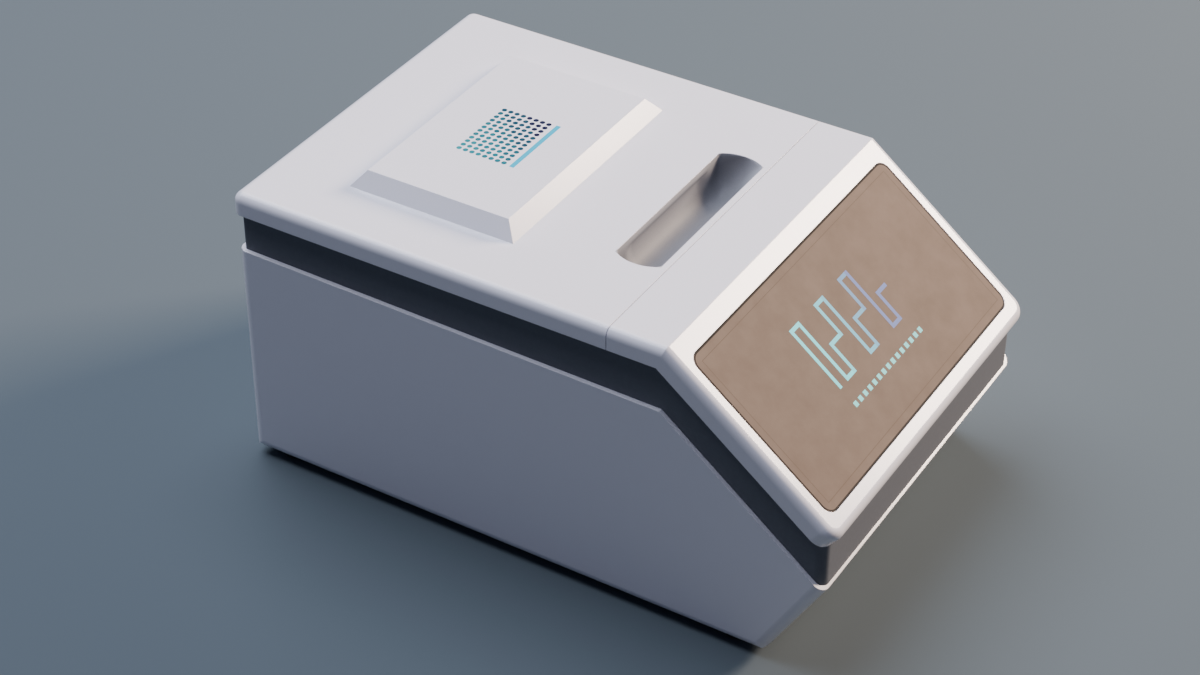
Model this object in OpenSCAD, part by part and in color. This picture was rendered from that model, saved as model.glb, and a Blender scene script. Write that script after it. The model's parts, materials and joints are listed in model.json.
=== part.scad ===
// Benchtop thermal cycler: a white two-part housing round a charcoal middle frame,
// a rear lid that carries the heated platen, and a sloped touch screen at the front.
// Millimetres, +Z up, the screen faces -Y, origin on the bench under the middle.

/* [Body] */
// Width of the top shells
body_w = 260; // [250:1:275]
// Depth of the top shells, front to rear
body_d = 408.5; // [395:0.5:420]
// Height of the flat top above the bench
body_h = 198; // [194:1:206]
// Wall of the moulded shells
wall = 3; // [2.5:0.1:3.2]
// Share of the depth that is flat, from the rear edge to the bend
flat_share = 0.7295; // [0.72:0.0005:0.74]
// Angle of the screen face below horizontal
slope_angle = 38.4; // [36:0.2:40]
// Height of the top shells' side edge
shell_h = 14; // [13:0.5:16]
// Rounding of the top shells' upper edges
shell_edge_r = 5.5; // [4:0.5:6]
// Plan rounding of the rear corners
rear_corner_r = 6.5; // [6.5:0.5:10]
// Plan rounding of the front corners
front_corner_r = 11; // [9:0.5:14]

/* [Middle frame] */
// How far the middle frame stands in from the top shells
band_inset = 4; // [3.7:0.1:5]
// Height of the frame that shows at the rear
band_h = 26.3; // [25:0.1:29]
// How much lower the casing's rim is at the bend than at the rear
rim_drop = 4; // [2:0.5:6]
// How far the casing's front rim stands behind the nose of the top
rim_setback = 5; // [4:0.1:6]
// Width of the casing's rim that shows at the front
front_lip = 1.4; // [1:0.1:2]
// Height the frame reaches up inside the lid
tongue_h = 6; // [4:0.5:7]
// Depth the frame reaches down inside the casing
socket_h = 8; // [6:0.5:12]
// Clearance between frame and casing
socket_fit = 0.1; // [0.05:0.05:0.3]
// Depth of the deck below the lid's lower edge
deck_drop = 14; // [13:0.5:15]

/* [Lower casing] */
// Height of the front rim above the casing's underside
front_rim_h = 62; // [58:1:68]
// Angle of the undercut front from vertical
rake = 30; // [24:1:34]
// Rounding of the casing's lower side and rear edges
keel_r = 7; // [5:0.5:9]
// Rounding of the casing's lower front edge
toe_r = 11; // [8:0.5:14]
// Rounding of the raked front edges
rake_edge_r = 8; // [6:0.5:12]
// Thickness of the steel panels
sheet_t = 1.5; // [1:0.1:2]
// Height of the rubber feet
foot_h = 5; // [4:0.5:8]
// Radius of the rubber feet
foot_r = 11; // [9:0.5:13]

/* [Screen] */
// Flat strip of the front bezel between seam and bend
bezel_strip = 37; // [34:0.5:40]
// Width of the bezel beside the touch glass
glass_side = 11.25; // [11:0.25:16]
// Distance from the bend down the slope to the glass
glass_top = 13.5; // [12:0.5:15]
// Distance from the glass to the lower end of the screen face
glass_foot = 13.3; // [12:0.1:16]
// Thickness of the touch glass
glass_t = 2.7; // [2:0.1:3]
// Corner radius of the touch glass
glass_r = 7; // [5:0.5:9]
// Open line round the touch glass
glass_gap = 0.7; // [0.5:0.1:1.0]
// Width of the ledge that carries the glass
glass_ledge = 6; // [5:0.5:8]
// Margin of the display inside the glass, at the sides
display_side = 36; // [30:1:45]
// Margin of the display inside the glass, above and below
display_end = 9.5; // [9:0.5:14]

/* [Lid] */
// Width of the seam between lid and bezel
seam = 0.5; // [0.4:0.1:0.8]
// Width of the raised pad at its base
pad_w = 173; // [165:1:180]
// Depth of the raised pad at its base
pad_d = 116; // [112:1:120]
// Height of the raised pad
pad_h = 10; // [9:0.5:12]
// Inset of the pad's top face on each side
pad_inset = 8.2; // [6:0.2:10]
// Distance from the lid's rear edge to the pad
pad_rear = 56; // [54:0.5:58]
// Distance of the finger slot's straight part from the lid's sides
slot_side = 68.5; // [65:0.5:75]
// Depth of the finger slot, front to rear
slot_d = 30.5; // [28:0.5:32]
// Distance from the seam to the finger slot
slot_front = 4.3; // [4:0.1:5]
// How far the slot's ends bulge
slot_bulge = 5; // [4:0.5:6]
// Radius of the scoop under the slot
scoop_r = 12; // [11:0.5:12]
// How far the scoop reaches under the rear lip
scoop_under = 3.4; // [2.5:0.1:4]
// Thickness of the rear lip over the scoop
lip_t = 4; // [3.5:0.1:5]
// Thickness of the lid's inner liner
liner_t = 2.5; // [2:0.1:3]

/* [Hinge] */
// Distance of the hinge axis from the rear edge
hinge_back = 15; // [14.5:0.1:16]
// Depth of the hinge axis below the lid's lower edge
hinge_drop = 12; // [11.5:0.1:13]
// Distance of each hinge from the lid's side
hinge_side = 35; // [32:1:38]
// Thickness of each hinge arm
arm_t = 8; // [6:0.5:10]
// Radius of the hinge pins
pin_r = 2.5; // [2:0.1:3]
// Running clearance between pin and arm, on the radius
pin_fit = 0.05; // [0.02:0.01:0.08]
// Side clearance between hinge arm and ears
side_gap = 0.4; // [0.3:0.05:0.6]

/* [Sample block] */
// Width of the sample block
block_w = 128; // [127:0.5:130]
// Depth of the sample block
block_d = 86; // [85:0.5:87]
// Height of the sample block
block_h = 20; // [18:0.5:22]
// Depth of the block's top below the deck
block_drop = 10; // [8:0.5:11]
// Columns of wells
well_columns = 12; // [8:1:12]
// Rows of wells
well_rows = 8; // [6:1:8]
// Spacing of the wells
well_pitch = 9; // [8.8:0.1:9.2]
// Radius of a well at its mouth
well_r = 3.1; // [2.6:0.1:3.3]
// Radius of a well at its bottom
well_tip_r = 1.3; // [1:0.1:1.6]
// Depth of a well
well_h = 14; // [12:0.5:15]
// Thickness of a thermoelectric module
module_t = 3.8; // [3.2:0.1:4.4]

/* [Heated platen] */
// Thickness of the heated platen
platen_t = 5; // [4:0.5:6]
// Gap between block and platen with no plate in place
plate_gap = 5; // [4.6:0.1:5.4]

/* [Cooling] */
// Width of the heat sink's fins across
sink_w = 160; // [150:1:162]
// Length of the heat sink
sink_d = 120; // [110:1:120]
// Thickness of the heat sink's base
sink_base_t = 10; // [8:0.5:12]
// Thickness of a fin
fin_t = 1.6; // [1.2:0.1:2]
// Spacing of the fins
fin_pitch = 5; // [4:0.5:8]
// Thickness of a fan
fan_t = 25; // [20:1:28]
// Number of fan blades
blades = 7; // [5:1:9]

/* [Hidden] */
$fn = 64;

// Places of the main faces
half_w = body_w / 2;
y_back = body_d / 2;
y_front = -body_d / 2;
y_bend = y_back - flat_share * body_d;
y_seam = y_bend + bezel_strip;
y_bezel_rear = y_seam - seam / 2;
y_lid_front = y_seam + seam / 2;
z_top = body_h;
z_under = z_top - shell_h;
z_deck = z_under - deck_drop;
z_ceiling = z_top - wall;
bend_r = 1.5;
end_r = shell_edge_r * (cos(slope_angle) + sin(slope_angle) - 1);
slope_len = (y_bend - y_front + end_r) / cos(slope_angle);
far = 400;

// Middle frame and casing
casing_inset = band_inset - wall;
case_half_w = half_w - casing_inset;
y_case_back = y_back - casing_inset;
y_case_front = y_front + rim_setback;
z_floor = foot_h;
z_rim_back = z_under - band_h;
z_rim_bend = z_rim_back - rim_drop;
z_rim_front = z_floor + front_rim_h;
y_rim_bend = y_bend + 2.7;
frame_half_w = half_w - band_inset;
y_frame_back = y_back - band_inset;
y_frame_front = y_case_front + front_lip;
y_partition = y_bezel_rear - 16;
z_trough = z_under - hinge_drop - 15;
y_trough = y_back - hinge_back - 21;

// Lid and hinge
hinge_y = y_back - hinge_back;
hinge_z = z_under - hinge_drop;
pad_y = y_back - pad_rear - pad_d / 2;
z_liner = z_under;
y_slot_front = y_seam + slot_front;
y_slot_rear = y_slot_front + slot_d;
slot_y = (y_slot_front + y_slot_rear) / 2;
scoop_c = [y_slot_rear + scoop_under - scoop_r, z_top - scoop_r];
slot_w = body_w - 2 * slot_side;
hinge_x = half_w - hinge_side;
hub_r = 6.5;
ear_t = 3;
arm_screw_x = arm_t / 2 + 3.5;
lid_gap = 0.2;
boss_r = 4;
screw_r = 1.5;
head_r = 3;
head_t = 1.6;
latch_x = half_w - 35;
latch_y = y_lid_front + 14;
bumper_x = half_w - 25;
bezel_screw_x = half_w - 40;
bumper_ys = [y_lid_front + 40, pad_y + pad_d / 2 + 3];
magnet_r = 7;
magnet_t = 4;
striker_t = 2;
boss_gap = 0.4;

// Block and platen
z_block = z_deck - block_drop;
z_block_foot = z_block - block_h;
block_flange_t = 4;
block_flange = 4;
z_module = z_block_foot - module_t;
module_w = (block_w - 8) / 3;
module_d = (block_d - 6) / 2;
z_platen = z_block + plate_gap;
surround_gap = 0.2;
frame_in_w = block_w / 2 + 3.5;
frame_in_d = block_d / 2 + 3.5;
frame_wall = 3;
frame_out_w = frame_in_w + frame_wall;
frame_out_d = frame_in_d + frame_wall;
bay_w = frame_out_w + 1.5;
bay_d = frame_out_d + 1.8;
surround_w = bay_w + 2.8;
surround_d = bay_d + 2.5;
gasket_t = 2.3;
mat_t = 1;
insulation_t = 6;
guide_r = 2;
guide_fit = 0.1;
guide_x = block_w / 2 - 8;
guide_y = block_d / 2 - 8;
z_frame_top = z_liner + liner_t + 3;
z_frame_foot = z_platen + 1;
spring_r = 3.4;
spring_wire = 0.45;
spring_turns = 4;

// Screen
glass_w = body_w - 2 * glass_side;
glass_h = slope_len - glass_top - glass_foot;
display_w = glass_w - 2 * display_side;
display_h = glass_h - 2 * display_end;
window_w = glass_w - 2 * glass_ledge;
window_h = glass_h - 2 * glass_ledge;
gasket_depth = 0.5;
ledge_t = 2.8;
carry_d = glass_t + gasket_depth + ledge_t;
frame_s0 = glass_top - 2.5;
frame_s1 = glass_top + glass_h + 2.5;
display_t = 5.5;
board_gap = 4.4;
board_t = 1.6;

// Cooling and power
supply_h = 40;
z_base_top = z_floor + sheet_t;
z_supply = z_base_top + 4;
z_fin = z_supply + supply_h + 15.7;
fin_h = z_module - sink_base_t - z_fin;
z_duct = z_fin - 14;
fan_w = z_rim_back - 25.5 - z_duct;
fan_x = fan_w / 2 + 2;
fan_y = pad_y + sink_d / 2 + 2;
z_fan = z_duct + fan_w / 2;
fan_bore_r = fan_w / 2 - 1.5;
blade_r = fan_bore_r - 1.1;
fan_hub_r = fan_w / 5;
shaft_r = 1.5;
shaft_fit = 0.05;
duct_t = 1.2;
duct_half_w = fan_x + fan_w / 2;
y_panel = y_case_back - wall;
panel_in = y_panel - sheet_t;
panel_half_w = half_w - 24;
panel_lip = 6;
panel_z0 = z_floor + 18;
panel_z1 = z_rim_back - 11;
port_z = z_floor + 35;
inlet_x = 31 - panel_half_w;
switch_x = inlet_x + 37;
network_x = panel_half_w - 40;
usb_x = network_x - 28;
base_half_w = case_half_w - 34;
base_y0 = y_case_front + front_rim_h * tan(rake) + 22;
base_y1 = y_case_back - 25;
base_lip = 5;
foot_x = case_half_w - 17;
foot_ys = [y_case_front + front_rim_h * tan(rake) + 24, y_case_back - 22];
post_x = sink_w / 2 + 5;
post_ys = [pad_y - sink_d / 2 + 10, pad_y + sink_d / 2 - 10];
post_r = 4;
supply = [base_half_w - 14, 150, supply_h];
supply_at = [-supply[0] - 4, base_y0 + 12, z_supply];
board = [base_half_w - 16, 150, board_t];
board_at = [6, base_y0 + 12, z_base_top + 8];
rocker_rest = 9;
// Inset of the standoffs, clear of the casing's ledge round the base plate
post_in = 16;

function unit(v) = v / norm(v);
// Height of the casing's rim at y
function rim_z(y) = y > y_rim_bend
  ? z_rim_bend + (y - y_rim_bend) * (z_rim_back - z_rim_bend) / (y_case_back - y_rim_bend)
  : z_rim_bend + (y - y_rim_bend) * (z_rim_bend - z_rim_front) / (y_rim_bend - y_case_front);

// Shapes that the parts share

// What is cut away to round corner p between its neighbours a and b
module round_corner(p, a, b, r) {
  u = unit(a - p);
  v = unit(b - p);
  half = acos(u * v) / 2;
  c = p + unit(u + v) * r / sin(half);
  t = r / tan(half);
  difference() {
    polygon([p, p + u * t, c, p + v * t]);
    translate(c) circle(r = r);
  }
}

// A polygon whose outer corners are rounded to the radii in rs
module rounded_poly(pts, rs) {
  n = len(pts);
  difference() {
    polygon(pts);
    for (i = [0:n - 1])
      if (rs[i] > 0) round_corner(pts[i], pts[(i + n - 1) % n], pts[(i + 1) % n], rs[i]);
  }
}

module rounded_rect(w, d, r) {
  rounded_poly([[-w / 2, -d / 2], [w / 2, -d / 2], [w / 2, d / 2], [-w / 2, d / 2]], [r, r, r, r]);
}

// A rounded plate centred on the origin, standing on z = 0
module plate(w, d, t, r) {
  linear_extrude(t) rounded_rect(w, d, r);
}

// A frame: a rounded plate with a rounded opening
module frame_plate(w, d, t, r, in_w, in_d, in_r) {
  linear_extrude(t) difference() {
    rounded_rect(w, d, r);
    rounded_rect(in_w, in_d, in_r);
  }
}

// Extrudes an outline drawn in Y and Z along X, centred
module across(w) {
  translate([-w / 2, 0, 0]) rotate([90, 0, 90]) linear_extrude(w) children();
}

// Extrudes an outline drawn in X and Z along Y, from y0 to y1
module along(y0, y1) {
  translate([0, y1, 0]) rotate([90, 0, 0]) linear_extrude(y1 - y0) children();
}

// Places children on the screen face: -Y runs down the slope and +Z out of it
module on_slope() {
  translate([0, y_bend, z_top]) rotate([slope_angle, 0, 0]) children();
}

// Children once on each side of the middle
module both_sides(x) {
  for (s = [-1, 1]) translate([s * x, 0, 0]) children();
}

// A slot with round ends
module slot_hole(w, h) {
  square([w - h, h], center = true);
  both_sides((w - h) / 2) circle(r = h / 2);
}

// A pan-head screw whose head sits on z = 0 and whose shank runs down
module screw(length, r, head) {
  difference() {
    union() {
      cylinder(h = head_t, r = head);
      translate([0, 0, -length]) cylinder(h = length, r = r);
    }
    translate([0, 0, head_t - 0.8]) cylinder(h = 1, r = head * 0.42, $fn = 6);
  }
}

// Top shells

// A slab of height h from y0 to y1 whose upper edges and y1 corners are rounded
module edged_slab(hw, y0, y1, h, r, corner_r) {
  yb = y1 - corner_r;
  along(y0, yb) rounded_poly([[-hw, 0], [hw, 0], [hw, h], [-hw, h]], [0, 0, r, r]);
  translate([0, yb, 0]) across(2 * (hw - corner_r)) edge_profile(corner_r, h, r);
  for (s = [0, 1]) mirror([s, 0, 0]) translate([hw - corner_r, yb, 0])
    rotate_extrude(angle = 90) edge_profile(corner_r, h, r);
}

// The flat rear part of the top shells, inset by i, from height z0 up
module lid_block(i, z0, y0) {
  translate([0, 0, z0])
    edged_slab(half_w - i, y0, y_back - i, z_top - i - z0, shell_edge_r - i, rear_corner_r - i);
}

module edge_profile(w, h, r) {
  rounded_poly([[0, 0], [w, 0], [w, h], [0, h]], [0, 0, r, 0]);
}

// Point in Y and Z at s down the screen face and w below it
function on_face(s, w) = [y_bend - s * cos(slope_angle) + w * sin(slope_angle),
  z_top - s * sin(slope_angle) - w * cos(slope_angle)];

// The bent front part of the top shells, inset by i; the inside runs on below by open
module bezel_block(i, open) {
  y1 = y_bezel_rear - i;
  depth = shell_h + open;
  intersection() {
    across(2 * (half_w - i)) rounded_poly([[y1, z_top - depth], [y1, z_top - i],
      [y_bend + i * tan(slope_angle / 2), z_top - i], on_face(slope_len + 9, i),
      on_face(slope_len + 9, depth), [y_bend + depth * tan(slope_angle / 2), z_top - depth]],
      [0, 0, bend_r, 0, 0, 0]);
    along(y_front - 9, y1 + 1) rounded_poly([[-half_w + i, 0], [half_w - i, 0], [half_w - i, z_top - i],
      [-half_w + i, z_top - i]], [0, 0, shell_edge_r - i, shell_edge_r - i]);
    on_slope() translate([0, 0, -far]) mirror([0, 1, 0])
      edged_slab(half_w - i, -far, slope_len - i, far - i, shell_edge_r - i, front_corner_r - i);
  }
}

// A rounded rectangle on the screen face, centred on the glass
module on_glass(z) {
  on_slope() translate([0, -glass_top - glass_h / 2, z]) children();
}

module front_bezel() {
  flange_d = 12;
  color("white") difference() {
    union() {
      difference() {
        bezel_block(0, 0);
        bezel_block(wall, 20);
      }
      // rear wall and the foot that stands on the deck
      translate([-frame_half_w + 6, y_bezel_rear - wall, z_deck])
        cube([2 * (frame_half_w - 6), wall, z_ceiling - z_deck + 1]);
      translate([-frame_half_w + 6, y_bezel_rear - flange_d, z_deck])
        cube([2 * (frame_half_w - 6), flange_d, wall]);
    }
    on_glass(-wall - 1)
      plate(glass_w + 2 * glass_gap, glass_h + 2 * glass_gap, 20, glass_r + glass_gap);
    for (x = [-1, 0, 1]) translate([x * bezel_screw_x, y_bezel_rear - 8, z_deck - 1]) cylinder(h = 5, r = screw_r);
  }
}

module bezel_screws() {
  color("silver") for (x = [-1, 0, 1]) translate([x * bezel_screw_x, y_bezel_rear - 8, z_deck - wall])
    mirror([0, 0, 1]) screw(wall + 3, screw_r, head_r);
}

module touch_glass() {
  color([0.65, 0.58, 0.52]) on_glass(-glass_t) plate(glass_w, glass_h, glass_t, glass_r);
}

// Frame under the skin that carries glass and display
module screen_frame() {
  color("dimgray") difference() {
    on_slope() translate([0, -(frame_s0 + frame_s1) / 2, -carry_d])
      plate(glass_w + 6, frame_s1 - frame_s0, carry_d - wall, glass_r + 2);
    on_glass(-carry_d - 1) plate(window_w, window_h, carry_d, glass_r - 2);
    on_glass(-glass_t - gasket_depth) plate(glass_w, glass_h, 1, glass_r);
  }
}

module screen_gasket() {
  color("black") on_glass(-glass_t - gasket_depth)
    frame_plate(glass_w, glass_h, gasket_depth, glass_r, window_w + 1, window_h + 1, glass_r - 2);
}

module display_module() {
  color("silver") on_glass(-glass_t - display_t) difference() {
    plate(display_w, display_h, display_t, 2);
    translate([0, 0, -1]) plate(display_w - 20, display_h - 16, 1.6, 2);
  }
}

module display_spacers() {
  color("gold") for (x = [-1, 1], y = [-1, 1])
    on_glass(-glass_t - display_t - board_gap)
      translate([x * (display_w / 2 - 6), y * (display_h / 2 - 5), 0]) cylinder(h = board_gap, r = 2.5);
}

module display_board() {
  color("darkgreen") on_glass(-glass_t - display_t - board_gap - board_t) {
    plate(display_w - 4, display_h - 4, board_t, 2);
    for (x = [-0.3, -0.09, 0.15]) translate([x * display_w, 6, -2]) plate(16, 16, 2, 1);
    for (x = [-1, 1]) translate([x * 0.375 * display_w, -25, -5]) plate(8, 24, 5, 0.5);
  }
}

// Lid

// Outline of the finger slot seen from above
module slot_plan() {
  h = slot_d / 2;
  tip = slot_w / 2 + slot_bulge;
  big_r = (h * h + slot_bulge * slot_bulge) / (2 * slot_bulge);
  rounded_rect(slot_w - 2 * slot_bulge, slot_d, 0);
  intersection() {
    rounded_rect(2 * tip, slot_d, 4);
    for (s = [-1, 1]) translate([s * (tip - big_r), 0]) circle(r = big_r);
  }
}

// Side view of the scoop: round floor, ramp at the front, undercut at the rear
module scoop_profile() {
  p = [y_slot_front - 1, z_top];
  v = p - scoop_c;
  ramp_r = scoop_r - 0.1;
  turn = atan2(v[1], v[0]) + acos(ramp_r / norm(v));
  t = scoop_c + ramp_r * [cos(turn), sin(turn)];
  translate(scoop_c) circle(r = scoop_r);
  polygon([p + [0, 5], p, t, scoop_c, [y_slot_rear, scoop_c[1]], [y_slot_rear, z_top + 5]]);
}

// The pad's block, with its top at z_top + h and its faces inset by i
module pad_block(h, i) {
  w = pad_w / 2 - i;
  d = pad_d / 2 - i;
  intersection() {
    along(pad_y - pad_d, pad_y + pad_d) polygon([[-w, z_ceiling - 1], [w, z_ceiling - 1], [w, z_top],
      [w - pad_inset, z_top + h], [-w + pad_inset, z_top + h], [-w, z_top]]);
    translate([0, pad_y, 0]) across(2 * pad_w) polygon([[-d, z_ceiling - 1], [d, z_ceiling - 1], [d, z_top],
      [d - pad_inset, z_top + h], [-d + pad_inset, z_top + h], [-d, z_top]]);
  }
}

module lid_bosses(r, z0) {
  for (y = liner_screw_ys) both_sides(liner_screw_x)
    translate([0, y, z0]) cylinder(h = z_ceiling - z0 + 0.5, r = r);
}
liner_screw_x = frame_half_w - 17;
liner_screw_ys = [y_lid_front + 58, pad_y - 26, pad_y + 26];

module lid_cover() {
  cup_x = slot_w / 2 + slot_bulge + wall;
  z_cup = scoop_c[1] - scoop_r - 2;
  color("white") difference() {
    union() {
      difference() {
        lid_block(0, z_under, y_lid_front);
        lid_block(wall, z_under - 1, y_lid_front + wall);
      }
      difference() {
        pad_block(pad_h, 0);
        pad_block(pad_h - wall, wall);
        translate([0, 0, z_ceiling - far]) linear_extrude(far) square(far, center = true);
      }
      // finger cup
      across(2 * cup_x) rounded_poly([[y_lid_front, z_top - 1], [y_lid_front, z_under],
        [scoop_c[0] - 9, z_cup], [scoop_c[0] + scoop_r + wall, z_cup],
        [scoop_c[0] + scoop_r + wall, z_top - 1]], [0, 3, 6, 8, 0]);
      lid_bosses(boss_r, z_liner + liner_t);
      // ribs beside the pad
      for (y = [pad_y - 40, pad_y, pad_y + 40]) both_sides(pad_w / 2 + 14)
        translate([-12, y - 1, z_ceiling - 5]) cube([24, 2, 6]);
    }
    pad_block(pad_h - wall, wall);
    lid_bosses(screw_r, z_liner);
    intersection() {
      across(slot_w + 4 * slot_bulge) scoop_profile();
      translate([0, slot_y, 0]) {
        linear_extrude(far) slot_plan();
        translate([0, scoop_under + 0.5, 0]) linear_extrude(z_top - lip_t) slot_plan();
      }
    }
  }
}

module lid_liner() {
  y0 = y_lid_front + wall;
  y1 = y_trough - 0.5;
  w = frame_half_w - 9;
  color([0.3, 0.31, 0.33]) translate([0, 0, z_liner]) linear_extrude(liner_t) difference() {
    translate([0, (y0 + y1) / 2]) rounded_rect(2 * w, y1 - y0, 6);
    translate([0, y0]) square([slot_w + 2 * slot_bulge + 2 * wall + 1,
      2 * (scoop_c[0] + scoop_r + wall + 0.5 - y0)], center = true);
    translate([0, pad_y]) rounded_rect(2 * frame_out_w, 2 * frame_out_d, 4);
    for (y = liner_screw_ys) both_sides(liner_screw_x) translate([0, y]) circle(r = screw_r);
    both_sides(latch_x) translate([0, latch_y]) circle(r = magnet_r);
    both_sides(hinge_x) for (s = [-1, 1]) translate([s * arm_screw_x, hinge_y - 35]) circle(r = screw_r);
  }
}

module liner_screws() {
  color("silver") for (y = liner_screw_ys) both_sides(liner_screw_x)
    translate([0, y, z_liner]) mirror([0, 0, 1]) screw(7, screw_r, head_r);
}

module latch_magnets() {
  color("gray") both_sides(latch_x) translate([0, latch_y, z_liner]) cylinder(h = magnet_t, r = magnet_r);
}

module hinge_arms() {
  top = liner_t + hinge_drop + 4;
  shelf = liner_t + hinge_drop;
  back = 5.5;
  color("dimgray") both_sides(hinge_x) translate([0, hinge_y, hinge_z]) difference() {
    union() {
      across(arm_t) {
        circle(r = hub_r);
        rounded_poly([[-hub_r, 0], [back, 0], [back, top], [-46, top], [-46, shelf],
          [-hub_r - 4, shelf], [-hub_r, shelf - 5]], [0, 0, 5, 1, 0, 0, 0]);
      }
      translate([-arm_t / 2 - 7, -46, shelf]) cube([arm_t + 14, 22, 2.5]);
    }
    rotate([0, 90, 0]) translate([0, 0, -arm_t]) cylinder(h = 2 * arm_t, r = pin_r + pin_fit);
    for (s = [-1, 1]) translate([s * arm_screw_x, -35, shelf - 1]) cylinder(h = 5, r = screw_r);
  }
}

module arm_screws() {
  shelf = liner_t + hinge_drop;
  color("silver") both_sides(hinge_x) for (s = [-1, 1])
    translate([s * arm_screw_x, hinge_y - 35, hinge_z + shelf + 2.5]) screw(4.5, screw_r, 2.6);
}

// Heated platen in the lid

module platen_frame() {
  color([0.12, 0.12, 0.13]) translate([0, pad_y, 0]) difference() {
    union() {
      translate([0, 0, z_frame_foot]) plate(2 * frame_out_w, 2 * frame_out_d, z_frame_top - z_frame_foot, 4);
      translate([0, 0, z_liner + liner_t]) plate(2 * frame_out_w + 12, 2 * frame_out_d + 10, 2, 5);
    }
    translate([0, 0, z_frame_foot - 1])
      plate(2 * frame_in_w, 2 * frame_in_d, z_frame_top - frame_wall - z_frame_foot + 1, 2);
    for (x = [-1, 1], y = [-1, 1]) translate([x * guide_x, y * guide_y, z_frame_top - 4])
      cylinder(h = 5, r = guide_r + guide_fit);
  }
}

module heated_platen() {
  color("lightgray") translate([0, pad_y, z_platen]) difference() {
    plate(block_w + 1, block_d + 1, platen_t, 3);
    // shallow ring that gathers the load over the wells
    translate([0, 0, -0.1]) frame_plate(block_w - 8, block_d - 8, 0.5, 2, block_w - 11, block_d - 11, 1);
  }
}

module heater_mat() {
  color("orangered") translate([0, pad_y, z_platen + platen_t]) difference() {
    plate(block_w - 6, block_d - 6, mat_t, 2);
    for (x = [-1, 1], y = [-1, 1]) translate([x * guide_x, y * guide_y, -1]) cylinder(h = 3, r = 4.6);
  }
}

module platen_insulation() {
  color("lightyellow") translate([0, pad_y, z_platen + platen_t + mat_t]) difference() {
    plate(block_w - 6, block_d - 6, insulation_t, 2);
    for (x = [-1, 1], y = [-1, 1]) translate([x * guide_x, y * guide_y, -1])
      cylinder(h = insulation_t + 2, r = 4.6);
  }
}

module guide_pins() {
  z0 = z_platen + platen_t;
  color("silver") for (x = [-1, 1], y = [-1, 1]) translate([x * guide_x, pad_y + y * guide_y, z0]) {
    cylinder(h = z_frame_top - z0 + 0.2, r = guide_r);
    translate([0, 0, z_frame_top - z0]) cylinder(h = 2, r = guide_r + 2);
  }
}

// One coil spring as a swept hexagon, from z = 0 to h
module coil(h, r, wire, turns) {
  steps = 12 * turns;
  sides = 6;
  centre = function (k) [r * cos(360 * turns * k / steps), r * sin(360 * turns * k / steps),
    wire + (h - 2 * wire) * k / steps];
  rings = [for (k = [0:steps], s = [0:sides - 1])
    let (a = 360 * turns * k / steps, b = 360 * s / sides, c = centre(k))
      [c[0] + wire * cos(b) * cos(a), c[1] + wire * cos(b) * sin(a), c[2] + wire * sin(b)]];
  faces = concat(
    [[for (s = [0:sides - 1]) s]],
    [for (k = [0:steps - 1], s = [0:sides - 1])
      [k * sides + s, (k + 1) * sides + s, (k + 1) * sides + (s + 1) % sides, k * sides + (s + 1) % sides]],
    [[for (s = [sides - 1:-1:0]) steps * sides + s]]);
  polyhedron(points = rings, faces = faces);
}

module platen_springs() {
  z0 = z_platen + platen_t;
  color("silver") for (x = [-1, 1], y = [-1, 1]) translate([x * guide_x, pad_y + y * guide_y, z0])
    coil(z_frame_top - frame_wall - z0, spring_r, spring_wire, spring_turns);
}

// Middle frame

// The frame's outline inset by i, with its front face at y0
module frame_plan(i, y0, front_r, rear_r) {
  x = half_w - i;
  rounded_poly([[-x, y0], [x, y0], [x, y_back - i], [-x, y_back - i]], [front_r, front_r, rear_r, rear_r]);
}

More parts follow.
